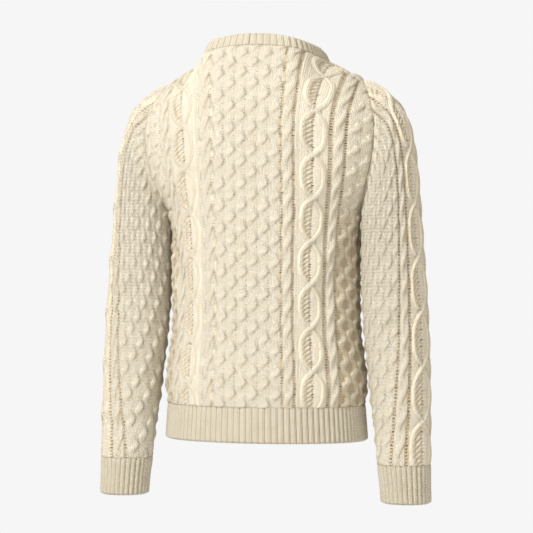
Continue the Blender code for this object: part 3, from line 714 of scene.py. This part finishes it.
def panel_edges(side, columns):
    """Right edge and top edge of a panel as (stitch, path), the right one from the welt to the shoulder."""
    right = [(SIDE_STITCHES, path) for path in np.linspace(0, UNDERARM - WELT_TOP, 60)]
    seam = seam_angle()
    last = seam if side == "back" else 0.0
    for angle in np.linspace(math.pi, last, 90)[1:]:
        x = float(armhole_across(angle))
        path = float(path_at(side, x, armhole_height(angle)))
        right.append((columns.stitch_at(x, path), path))
    if side == "front":
        for angle in np.linspace(0, seam, 16)[1:]:
            x = float(armhole_across(angle))
            top = float(path_to_ridge("front", x) + path_to_ridge("back", x))
            path = top - float(path_at("back", x, armhole_height(angle)))
            right.append((columns.stitch_at(x, path), path))
    end = float(armhole_across(seam))
    top = []
    for x in np.linspace(end, NECK_HALF_WIDTH, 60):
        shift = float(shoulder_shift(x))
        path = float(path_to_ridge(side, x)) + (-shift if side == "back" else shift)
        top.append((columns.stitch_at(x, path), path))
    for x in NECK_HALF_WIDTH * np.cos(np.linspace(0, math.pi / 2, 120))[1:]:
        path = float(path_at(side, x, neck_height(side, x)))
        top.append((columns.stitch_at(x, path), path))
    scale = np.array([STITCH, 1.0])
    right, top = np.array(right), np.array(top)
    top[-1, 0] = 0.0
    top = resample(top, PANEL_COLUMNS // 2 + 1, top * scale)
    return resample(right, PANEL_ROWS + 1, right * scale), top


def panel(side, material):
    """Front or back, cut between welt, side seams, armholes, shoulder seams and neckline."""
    columns = Columns(side)
    right, top = panel_edges(side, columns)
    top = np.vstack([top * [-1, 1], top[-2::-1]])
    share = np.linspace(-1, 1, PANEL_COLUMNS + 1)[None, :]
    blend = (right[:, 1] / right[-1, 1])[:, None]
    stitch = share * right[:, :1] + blend * (top[:, 0][None, :] - share * right[-1, 0])
    path = right[:, 1:] + blend * (top[:, 1][None, :] - right[-1, 1])
    sign = -1 if side == "back" else 1
    base = body_surface(side, sign * columns.at(stitch, path), path)
    row = path / (ROW * (1 - SIDE_ROW_SHRINK * np.minimum(1, (stitch / SIDE_SHRINK_FROM) ** 2)))
    knit = body_knit(stitch, row)
    across = stitch * STITCH
    side_gap = (1 - np.abs(share)) * right[:, :1] * STITCH
    above = ease((path - (UNDERARM - WELT_TOP) + ARMHOLE_FADE) / ARMHOLE_FADE)
    fade = above_welt(path) * below_seam(top[:, 1][None, :] - path)
    fade = fade * (1 - above * (1 - below_seam(side_gap)))
    knit.height = knit.height * fade
    lift = creases(BODY_CREASES, across, path) * fade
    return knitted_piece(side, base, knit, lift, material)


def sleeve_ring(outer, inner, middle_y, half_depth, bulge, turns):
    """Ring of points round the left sleeve between an outer and an inner point."""
    middle = (outer + inner) / 2
    reach = (outer - inner) / 2
    across = middle[0] + reach[0] * np.cos(turns) + bulge * np.sin(turns) ** 2
    height = middle[1] + reach[1] * np.cos(turns)
    return np.stack([across, middle_y + half_depth * np.sin(turns), height], -1)


def other_hand(ring):
    """Values of a closed ring in the order of its mirror image, the first one kept first."""
    return np.roll(ring[:, ::-1], 1, axis=1)


def sleeve(name, hand, material):
    """Set-in sleeve, closed along its underarm seam. hand is 1 on the wearer's left."""
    turns = np.linspace(-math.pi, math.pi, 4 * SLEEVE_COLUMNS + 1)
    rings = [np.array([armhole_point(turn) for turn in turns])]
    for i in range(len(SLEEVE["outer_x"])):
        part = {key: values[i] for key, values in SLEEVE.items()}
        rings.append(sleeve_ring(
            np.array([part["outer_x"], part["outer_z"]]), np.array([part["inner_x"], part["inner_z"]]),
            part["middle_y"], part["half_depth"], part["bulge"], turns))
    rings = np.array(rings[::-1])
    steps = np.linalg.norm(np.diff(rings, axis=0), axis=2)
    knots = np.vstack([np.zeros(len(turns)), np.cumsum(steps, axis=0)])
    share = np.linspace(0, 1, SLEEVE_ROWS + 1)
    lines = []
    for i in range(len(turns)):
        at = share * knots[-1, i]
        lines.append(np.stack([smooth(knots[:, i], rings[:, i, k], at) for k in range(3)], -1))
    grid = np.array(lines).transpose(1, 0, 2)
    path = share[:, None] * knots[-1][None, :]
    run = np.linalg.norm(np.diff(grid, axis=1), axis=2)
    arc = np.hstack([np.zeros((len(share), 1)), np.cumsum(run, axis=1)])
    even = np.linspace(0, 1, SLEEVE_COLUMNS + 1)[:-1]
    base, around, up = [], [], []
    for j in range(len(share)):
        at = even * arc[j, -1]
        base.append(np.stack([np.interp(at, arc[j], grid[j, :, k]) for k in range(3)], -1))
        around.append(at - np.interp(0.0, turns, arc[j]))
        up.append(np.interp(at, arc[j], path[j]))
    base, around, up = np.array(base), np.array(around), np.array(up)
    if hand < 0:
        base = other_hand(base) * [-1, 1, 1]
        around = -other_hand(around)
        around[:, 0] = -around[:, 0]
        up = other_hand(up)
    knit = sleeve_knit((around - hand * SLEEVE_TURN) / SLEEVE_STITCH, up / SLEEVE_ROW)
    fade = above_welt(up) * below_seam((1 - share[:, None]) * SLEEVE_LENGTH)
    knit.height = knit.height * fade
    lift = creases(SLEEVE_CREASES, around * hand, up) * fade
    return knitted_piece(name, base, knit, lift, material, closed=True)


def ribbing(count, length):
    """Knit of one-by-one ribs, count of them across, along a length in millimetres."""
    ribs = np.arange(count * RIB_POINTS + 1) / RIB_POINTS
    across, up = np.meshgrid(ribs, np.linspace(0, length, BAND_ROWS + 1))
    knit = Knit(across * 2, up / ROW, 1.0)
    rib = np.abs(np.sin(across * math.pi)) ** 0.7
    knit.height = 0.2 + RIB_RISE * rib
    # Painted shade in the valleys between the ribs
    knit.painted_shade = 0.7 * ease((0.5 - rib) / 0.4)
    knit.yarn[..., 0] = across * 2 + 0.5
    knit.yarn[..., 2] = ease((0.45 - rib) / 0.3)
    return knit, up


def rounded_off(distance):
    """How far a free edge is drawn in, 1 on it and 0 from a little way in."""
    return (1 - ease(distance / EDGE_ROUND)) ** 2


def drawn_flat(distance):
    """What is left of the ribs' height near the seam above them."""
    return 0.75 + 0.25 * ease(distance / SEAM_DRAW)


def welt(side, material):
    """Ribbed lower edge of the front or the back."""
    sign = 1 if side == "back" else -1
    width, depth = float(body("half_width", WELT_TOP)), float(body(side, WELT_TOP))
    run = math.pi / 2 * math.sqrt((width ** 2 + depth ** 2) / 2)
    ribs = 2 * round(run / RIB_PITCH)
    heights = np.linspace(HEM_BOTTOM, WELT_TOP, BAND_ROWS + 1)
    angles = np.linspace(-math.pi / 2, math.pi / 2, ribs * RIB_POINTS + 1)
    rows = []
    for height in heights:
        x = -sign * float(body("half_width", height)) * np.sin(angles)
        y = sign * float(body(side, height)) * np.cos(angles)
        rows.append(np.stack([x, y, np.full_like(x, height)], -1))
    base = np.array(rows)
    knit, up = ribbing(ribs, WELT_TOP - HEM_BOTTOM)
    knit.height = knit.height * drawn_flat(WELT_TOP - HEM_BOTTOM - up)
    return knitted_piece("hem_welt_" + side, base, knit, 0 * up, material, edge=rounded_off(up))


def cuff(name, hand, material):
    """Ribbed end of a sleeve."""
    ribs = round(math.pi * (CUFF["outer_x"][2] - CUFF["inner_x"][2]) / RIB_PITCH)
    turns = np.linspace(-math.pi, math.pi, ribs * RIB_POINTS + 1)[:-1]
    rows = []
    for height in np.linspace(CUFF_BOTTOM, CUFF_TOP, BAND_ROWS + 1):
        part = {key: float(smooth(CUFF["height"], values, height)) for key, values in CUFF.items()}
        rows.append(sleeve_ring(
            np.array([part["outer_x"], height]), np.array([part["inner_x"], height]),
            part["middle_y"], part["half_depth"], 0.0, turns))
    base = np.array(rows)
    if hand < 0:
        base = other_hand(base) * [-1, 1, 1]
    knit, up = ribbing(ribs, CUFF_TOP - CUFF_BOTTOM)
    knit.open_end()
    up = up[:, :-1]
    knit.height = knit.height * drawn_flat(CUFF_TOP - CUFF_BOTTOM - up)
    return knitted_piece(name, base, knit, 0 * up, material, closed=True, edge=rounded_off(up))


def neckband(material):
    """Ribbed crew neckband that stands on the neckline and leans in toward the neck."""
    halves = []
    for side in ("back", "front"):
        x = NECK_HALF_WIDTH * np.cos(np.linspace(0, math.pi / 2, 200))
        halves.append(half_point(side, x, path_at(side, x, neck_height(side, x))))
    quarter = np.vstack([halves[0][::-1], halves[1][1:]])
    loop = np.vstack([quarter * [-1, 1, 1], quarter[-2::-1]])
    line = resample(loop, NECK_RIBS * RIB_POINTS + 1)[:-1]
    for _ in range(NECK_SMOOTHING):
        line = (np.roll(line, 1, axis=0) + 2 * line + np.roll(line, -1, axis=0)) / 4
    across = line[:, 0] / NECK_HALF_WIDTH
    behind = np.clip(0.5 + line[:, 1] / NECK_DEPTH, 0, 1)
    lean = unit(np.stack([-0.42 * across, 0.25 - 0.62 * behind, np.full(len(line), 0.93)], -1))
    base = np.array([line + lean * up for up in np.linspace(SEAM_GAP, BAND_HEIGHT, BAND_ROWS + 1)])
    knit, up = ribbing(NECK_RIBS, BAND_HEIGHT)
    knit.open_end()
    up = up[:, :-1]
    knit.height = knit.height * 0.8
    edge = rounded_off(BAND_HEIGHT - up)
    return knitted_piece("neckband", base, knit, 0 * up, material, closed=True, edge=edge)


# Materials, with the sizes of their patterns in millimetres

YARN_RELIEF = 2.2
FIBRE_TUFT = 2.381
SLUB = 18.18
TAPE_RELIEF = 0.2
TAPE_RIB = 0.98
PAPER_MOTTLE = 33.3
# Colours of the painted shade: over shaded ground, ladders, rib valleys and cord edges, and in the open
# stitches
SHADED_GROUND = "A98A4E"
OPEN_STITCH_SHADE = "7A6740"


def linear(code, alpha=1.0):
    """Linear colour from an sRGB hex code."""
    values = [int(code[i:i + 2], 16) / 255 for i in (0, 2, 4)]
    return [v / 12.92 if v <= 0.04045 else ((v + 0.055) / 1.055) ** 2.4 for v in values] + [alpha]


def node(tree, kind, settings, inputs):
    """New shader node with its settings and its inputs, in order or by name or number, set or linked."""
    made = tree.nodes.new("ShaderNode" + kind)
    for name, value in settings.items():
        setattr(made, name, value)
    for slot, value in inputs.items() if isinstance(inputs, dict) else enumerate(inputs):
        if isinstance(value, bpy.types.Node):
            value = value.outputs[0]
        if isinstance(value, bpy.types.NodeSocket):
            tree.links.new(value, made.inputs[slot])
        else:
            made.inputs[slot].default_value = value
    return made


def worsted_wool(name, light, body_tone, painted_hollow_shade):
    """Undyed worsted wool, plied, hand knitted and softly brushed.

    It is matt, with a pale bloom of fibre at grazing angles, and every stitch of it can be told: two slanted
    legs on knit ground, a row of bumps on purl. Painted shade darkens the colour between the yarns, in the
    hollows, in the open stitches and along the edges of the cords. The fibres are drawn as tufts, because
    single ones are too fine to show.
    """
    material = bpy.data.materials.new(name)
    material.use_nodes = True
    tree = material.node_tree
    shader = tree.nodes["Principled BSDF"]
    parts = []
    for key in ("yarn", "chart", "tone"):
        read = node(tree, "Attribute", {"attribute_name": key}, [])
        parts.append(node(tree, "SeparateXYZ", {}, [read.outputs["Vector"]]).outputs)
    across, along, purl = parts[0]
    column, row, valley = parts[1]
    painted_shade, steady = parts[2][:2]
    place = node(tree, "TexCoord", {}, []).outputs["Object"]

    # Knit stitches, each with two rounded legs that slant to its middle

    leg = node(tree, "Math", {"operation": "FRACT"}, [across])
    leg = node(tree, "Math", {"operation": "SUBTRACT"}, [leg, 0.5])
    leg = node(tree, "Math", {"operation": "ABSOLUTE"}, [leg])
    plump = node(tree, "Math", {"operation": "MULTIPLY_ADD"}, [leg, 4.0, -1.0])
    plump = node(tree, "Math", {"operation": "ABSOLUTE"}, [plump])
    plump = node(tree, "Math", {"operation": "SUBTRACT"}, [1.0, plump])
    plump = node(tree, "Math", {"operation": "POWER"}, [plump, 0.5])
    loop = node(tree, "Math", {"operation": "MULTIPLY_ADD"}, [leg, -1.3, along])
    loop = node(tree, "Math", {"operation": "MULTIPLY"}, [loop, math.pi])
    loop = node(tree, "Math", {"operation": "SINE"}, [loop])
    loop = node(tree, "Math", {"operation": "ABSOLUTE"}, [loop])
    loop = node(tree, "Math", {"operation": "POWER"}, [loop, 0.6])
    knit_stitch = node(tree, "Math", {"operation": "MULTIPLY"}, [plump, loop])

    # Purl stitches, one wavy bump a row

    bumps = node(tree, "Math", {"operation": "MULTIPLY"}, [across, 2 * math.pi])
    bumps = node(tree, "Math", {"operation": "SINE"}, [bumps])
    bumps = node(tree, "Math", {"operation": "MULTIPLY_ADD"}, [bumps, 0.22, along])
    bumps = node(tree, "Math", {"operation": "MULTIPLY"}, [bumps, math.pi])
    bumps = node(tree, "Math", {"operation": "SINE"}, [bumps])
    purl_stitch = node(tree, "Math", {"operation": "ABSOLUTE"}, [bumps])
    stitch = node(tree, "Mix", {"data_type": "FLOAT"}, {0: purl, 2: knit_stitch, 3: purl_stitch})
    # Where another cord begins the stitch pattern is left out, which also leaves a soft line of painted shade
    # along the cords' edges
    height = node(tree, "Mix", {"data_type": "FLOAT"}, {0: steady, 2: 0.0, 3: stitch})

    # Open stitches, one a row and each of its own size, dented and painted dark with the shade inside them

    whole_stitch = [node(tree, "Math", {"operation": "ROUND"}, [part]) for part in (column, row)]
    whole_stitch = node(tree, "CombineXYZ", {}, whole_stitch)
    uneven = node(tree, "TexWhiteNoise", {"noise_dimensions": "2D"}, [whole_stitch])
    uneven = node(tree, "Math", {"operation": "POWER"}, [uneven, 3.0])
    uneven = node(tree, "Math", {"operation": "ADD"}, [uneven, 0.22])
    beat = node(tree, "Math", {"operation": "MULTIPLY"}, [row, math.pi])
    beat = node(tree, "Math", {"operation": "COSINE"}, [beat])
    beat = node(tree, "Math", {"operation": "ABSOLUTE"}, [beat])
    beat = node(tree, "Math", {"operation": "POWER"}, [beat, 4.0])
    hole = node(tree, "Math", {"operation": "MULTIPLY"}, [valley, beat])
    hole = node(tree, "Math", {"operation": "MULTIPLY"}, [hole, uneven])

    # Fibre over the stitches, and the thick and thin of the spinning

    fibre = node(tree, "TexNoise", {}, {
        "Vector": place, "Scale": 1 / (FIBRE_TUFT * METRE), "Detail": 4.0, "Roughness": 0.7})
    slub = node(tree, "TexNoise", {}, {"Vector": place, "Scale": 1 / (SLUB * METRE), "Detail": 3.0})
    relief = node(tree, "Math", {"operation": "MULTIPLY_ADD"}, [fibre, 1.3, height])
    relief = node(tree, "Math", {"operation": "MULTIPLY_ADD"}, [hole, -1.6, relief])
    bump = node(tree, "Bump", {}, {"Strength": 1.0, "Distance": YARN_RELIEF * METRE, "Height": relief})

    # Colour: painted shade from the top of the yarn into its hollows, with the wool's own mottle over it

    shade = node(tree, "Math", {"operation": "MULTIPLY_ADD"}, [height, -0.42, 0.42])
    for pattern in (slub, fibre):
        mottle = node(tree, "Math", {"operation": "MULTIPLY_ADD"}, [pattern, 0.5, -0.25])
        shade = node(tree, "Math", {"operation": "ADD"}, [shade, mottle])
    ramp = node(tree, "ValToRGB", {}, [shade])
    colours = ramp.color_ramp.elements
    colours[0].position, colours[0].color = 0.0, linear(light)
    colours[1].position, colours[1].color = 0.9, linear(painted_hollow_shade)
    colours.new(0.35).color = linear(body_tone)
    # Painted shade over the ground, ladders, rib valleys and cords' climbing edges, then painted shade in the
    # open stitches
    shaded = node(tree, "Mix", {"data_type": "RGBA"}, {0: painted_shade, 6: ramp, 7: linear(SHADED_GROUND)})
    colour = node(tree, "Mix", {"data_type": "RGBA"}, {0: hole, 6: shaded.outputs[2], 7: linear(OPEN_STITCH_SHADE)})
    tree.links.new(colour.outputs[2], shader.inputs["Base Color"])
    tree.links.new(bump.outputs[0], shader.inputs["Normal"])
    shader.inputs["Roughness"].default_value = 0.92
    shader.inputs["Specular IOR Level"].default_value = 0.2
    shader.inputs["Sheen Weight"].default_value = 0.2
    shader.inputs["Sheen Roughness"].default_value = 0.5
    shader.inputs["Sheen Tint"].default_value = linear("FFF6E4")
    return material


def woven_tape():
    """Plain woven cotton tape, bare and matt.

    Its weave shows as fine cross ribs, about twice as coarse as the real thread, which is too fine to show.
    """
    material = bpy.data.materials.new("woven_cotton_tape")
    material.use_nodes = True
    tree = material.node_tree
    shader = tree.nodes["Principled BSDF"]
    place = node(tree, "TexCoord", {}, []).outputs["Object"]
    weave = node(tree, "TexWave", {"bands_direction": "Z"}, {
        "Vector": place, "Scale": math.pi / 10 / (TAPE_RIB * METRE), "Distortion": 0.6}).outputs[1]
    ramp = node(tree, "ValToRGB", {}, [weave])
    ramp.color_ramp.elements[0].color = linear("8A6A40")
    ramp.color_ramp.elements[1].color = linear("B8925C")
    bump = node(tree, "Bump", {}, {"Strength": 0.4, "Distance": TAPE_RELIEF * METRE, "Height": weave})
    tree.links.new(ramp.outputs[0], shader.inputs["Base Color"])
    tree.links.new(bump.outputs[0], shader.inputs["Normal"])
    shader.inputs["Roughness"].default_value = 0.75
    return material


def side_label(material):
    """Folded tab of tape caught in the left side seam above the welt."""
    low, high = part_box("side_label")
    low, high = np.array(low), np.array(high)
    middle, size = (low + high) / 2, high - low
    bpy.ops.object.select_all(action="DESELECT")
    bpy.ops.mesh.primitive_cube_add(size=1, location=middle)
    tab = bpy.context.object
    tab.name = "side_label"
    tab.scale = size
    bpy.ops.object.transform_apply(location=True, rotation=False, scale=True)
    bpy.ops.object.mode_set(mode="EDIT")
    bpy.ops.mesh.select_all(action="SELECT")
    bpy.ops.mesh.subdivide(number_cuts=5)
    bpy.ops.object.mode_set(mode="OBJECT")
    for vertex in tab.data.vertices:
        out = (vertex.co.x - low[0]) / size[0]
        vertex.co.y += 0.0012 * math.sin(2.2 * out) * out
        pinch = 1 - 0.5 * ease(0.5 - out) - 0.35 * ease((out - 0.82) / 0.18)
        vertex.co.y = middle[1] + (vertex.co.y - middle[1]) * pinch
    bevel = tab.modifiers.new("soft", "BEVEL")
    bevel.width = 0.0003
    bevel.segments = 2
    bpy.ops.object.modifier_apply(modifier="soft")
    tab.data.materials.append(material)
    return tab


# Build

wool = worsted_wool("worsted_wool", light="F5EEDF", body_tone="EEE5D0", painted_hollow_shade="C8B58F")
# The ribbing's wool is a darker copy of the same wool: painted shade
rib_wool_shaded = worsted_wool("worsted_wool_rib_shaded", light="EAE3D3", body_tone="E1D8C2", painted_hollow_shade="B5A37E")
tape = woven_tape()

dressed = {
    "back": panel("back", wool),
    "front": panel("front", wool),
    "sleeve_left": sleeve("sleeve_left", 1, wool),
    "sleeve_right": sleeve("sleeve_right", -1, wool),
    "cuff_left": cuff("cuff_left", 1, rib_wool_shaded),
    "cuff_right": cuff("cuff_right", -1, rib_wool_shaded),
    "hem_welt_back": welt("back", rib_wool_shaded),
    "hem_welt_front": welt("front", rib_wool_shaded),
    "neckband": neckband(rib_wool_shaded),
}
label = side_label(tape)

SLOTS = dict.fromkeys(("back", "front", "sleeve_left", "sleeve_right"), "cream_wool")
for name, piece in dressed.items():
    piece.name = "knit_" + name
    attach(piece, "root")
    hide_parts(name)
label.name = "tape_side_label"
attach(label, "root")
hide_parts("side_label")

# Floor, light and camera, in metres. The room is white, and its light on the wool is a little warm

FLOOR_HEIGHT = -1.6
FLOOR_SIZE = 7
ROOM_LIGHT = (0.60, 0.55, 0.465, 1.0)
LAMP_TARGET = (0, 0, -0.35)
PHOTO_AZIMUTH = 197.2
CAMERA_DISTANCE = 3.6
SENSOR_WIDTH = 36.0
PHOTO_PIXELS = 533
MM_PER_PIXEL = 1.75
TARGET = (-0.0008, 0.0, -0.3605)


def matt_paper():
    """Matt white backdrop paper, rolled smooth, with a mottle too faint to draw the eye."""
    material = bpy.data.materials.new("matt_paper_floor")
    material.use_nodes = True
    tree = material.node_tree
    shader = tree.nodes["Principled BSDF"]
    place = node(tree, "TexCoord", {}, []).outputs["Object"]
    mottle = node(tree, "TexNoise", {}, {"Vector": place, "Scale": 1 / (PAPER_MOTTLE * METRE)})
    ramp = node(tree, "ValToRGB", {}, [mottle])
    ramp.color_ramp.elements[0].color = linear("ECECEC")
    ramp.color_ramp.elements[1].color = linear("F2F2F2")
    tree.links.new(ramp.outputs[0], shader.inputs["Base Color"])
    shader.inputs["Roughness"].default_value = 0.9
    return material


def set_stage():
    """Pale floor far below, and white surroundings whose light is a little warmer than they look."""
    bpy.ops.object.select_all(action="DESELECT")
    bpy.ops.mesh.primitive_plane_add(size=FLOOR_SIZE, location=(0, 0, FLOOR_HEIGHT))
    floor = bpy.context.object
    floor.name = "floor"
    floor.data.materials.append(matt_paper())
    world = bpy.data.worlds.new("white_surroundings")
    world.use_nodes = True
    tree = world.node_tree
    seen = node(tree, "LightPath", {}, []).outputs["Is Camera Ray"]
    shown = node(tree, "Mix", {"data_type": "RGBA"}, {0: seen, 6: ROOM_LIGHT, 7: linear("F6F6F6")})
    tree.links.new(shown.outputs[2], tree.nodes["Background"].inputs[0])
    bpy.context.scene.world = world


def round_at(azimuth, distance):
    """Place at a distance round the sweater, 0 in front of it and 90 at the wearer's left."""
    turn = math.radians(azimuth)
    return Vector((math.sin(turn) * distance, -math.cos(turn) * distance, 0))


def aim(thing, at):
    """Turn a light or camera toward a point."""
    thing.rotation_euler = (Vector(at) - thing.location).to_track_quat("-Z", "Y").to_euler()


def set_light(name, azimuth, height, distance, size, watts, colour):
    """Soft box at an azimuth round the sweater."""
    lamp = bpy.data.lights.new(name, "AREA")
    lamp.shape = "DISK"
    lamp.size = size
    lamp.energy = watts
    lamp.color = colour
    thing = bpy.data.objects.new(name, lamp)
    thing.location = round_at(azimuth, distance) + Vector((0, 0, height))
    bpy.context.scene.collection.objects.link(thing)
    aim(thing, LAMP_TARGET)


def set_camera():
    """The photograph's view, from behind and a little to the wearer's right."""
    lens = bpy.data.cameras.new("photo_camera")
    lens.sensor_width = SENSOR_WIDTH
    lens.lens = SENSOR_WIDTH * CAMERA_DISTANCE / (PHOTO_PIXELS * MM_PER_PIXEL * METRE)
    camera = bpy.data.objects.new("photo_camera", lens)
    camera.location = round_at(PHOTO_AZIMUTH, CAMERA_DISTANCE) + Vector(TARGET)
    bpy.context.scene.collection.objects.link(camera)
    aim(camera, TARGET)
    bpy.context.scene.camera = camera


# A soft key from the camera's upper left, and a broad, low fill from its right

set_stage()
set_camera()
set_light("key", azimuth=150, height=1.9, distance=2.9, size=1.2, watts=136, colour=(1.0, 1.0, 0.995))
set_light("fill", azimuth=215, height=0.2, distance=4.0, size=2.6, watts=46, colour=(1.0, 0.995, 0.985))
bpy.context.scene.view_settings.view_transform = "Standard"
